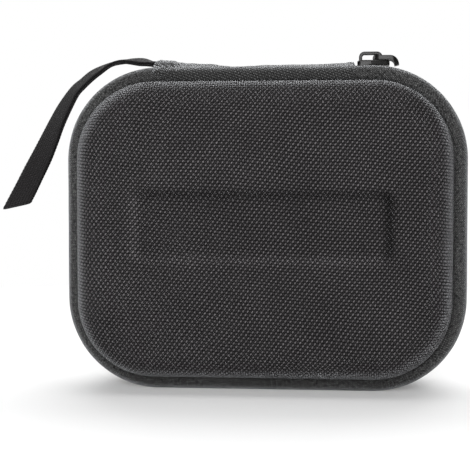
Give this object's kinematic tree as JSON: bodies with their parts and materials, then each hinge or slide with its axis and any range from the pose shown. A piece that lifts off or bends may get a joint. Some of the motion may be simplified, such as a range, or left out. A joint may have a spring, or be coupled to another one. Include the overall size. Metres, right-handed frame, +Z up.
{
  "type": "zip case",
  "caption": "Hard-shell zip case for a small portable speaker: two moulded fabric half shells with a rolled rim, fabric hinge, coil zip with ring pull, mesh pocket and wrist strap.",
  "frame": {"origin": "bottom centre of the whole object's bounding box, strap included, on the floor that it stands on", "axes": "+X to the right along the long side as seen from the front, +Y to the back, +Z up; the zip lies in the plane Y = 0"},
  "size_m": [0.1582, 0.056, 0.1153],
  "materials": {
    "shell_fabric": "coarse plain-weave nylon moulded on foam, matt",
    "lining_knit": "smooth knitted lining",
    "band_fabric": "coarse plain-weave nylon, matt",
    "binding_tape": "ribbed woven binding",
    "zip_tape": "fine woven zip tape",
    "zip_coil": "black nylon coil",
    "net_mesh": "knitted polyester mesh",
    "elastic": "ribbed elastic",
    "hinge_fabric": "fine plain-weave nylon, matt",
    "slider_metal": "dark satin lacquer on cast zinc",
    "webbing": "flat woven webbing",
    "thread": "stitching thread"
  },
  "bodies": {
    "rear_half": {"rear_shell": "shell_fabric", "rear_lining": "lining_knit", "rear_rim_band": "band_fabric", "rear_inner_binding": "binding_tape", "rear_zip_tape": "zip_tape", "rear_zip_coil": "zip_coil", "hinge_panel": "hinge_fabric", "hinge_backing": "webbing", "strap_root": "webbing", "strap_stitching": "thread"},
    "front_half": {"front_shell": "shell_fabric", "front_lining": "lining_knit", "front_rim_band": "band_fabric", "front_inner_binding": "binding_tape", "front_zip_tape": "zip_tape", "front_zip_coil": "zip_coil", "pocket_net": "net_mesh", "pocket_elastic": "elastic"},
    "zip_slider": {"slider_body": "slider_metal", "slider_bridge": "slider_metal"},
    "zip_pull": {"pull_ring": "slider_metal"},
    "wrist_strap": {"wrist_strap": "webbing"}
  },
  "joints": [
    {"name": "lid_hinge", "type": "hinge", "parent": "rear_half", "child": "front_half", "pos_m": [0.01106, 0, 0.1112], "axis": [-1, 0, 0], "range_deg": [0, 175], "deforming": ["hinge_panel", "hinge_backing", "front_zip_tape", "front_zip_coil"]},
    {"name": "slider_travel", "type": "hinge", "parent": "rear_half", "child": "zip_slider", "pos_m": [0.04756, 0, 0.0785], "axis": [0, 1, 0], "range_deg": [0, 90], "deforming": ["rear_zip_tape", "rear_zip_coil"]},
    {"name": "pull_swing", "type": "hinge", "parent": "zip_slider", "child": "zip_pull", "pos_m": [0.04806, 0, 0.11315], "axis": [0, -1, 0], "range_deg": [0, 180]},
    {"name": "strap_swing", "type": "hinge", "parent": "rear_half", "child": "wrist_strap", "pos_m": [-0.03974, 0, 0.1112], "axis": [1, 0, 0], "range_deg": [-80, 80]}
  ]
}
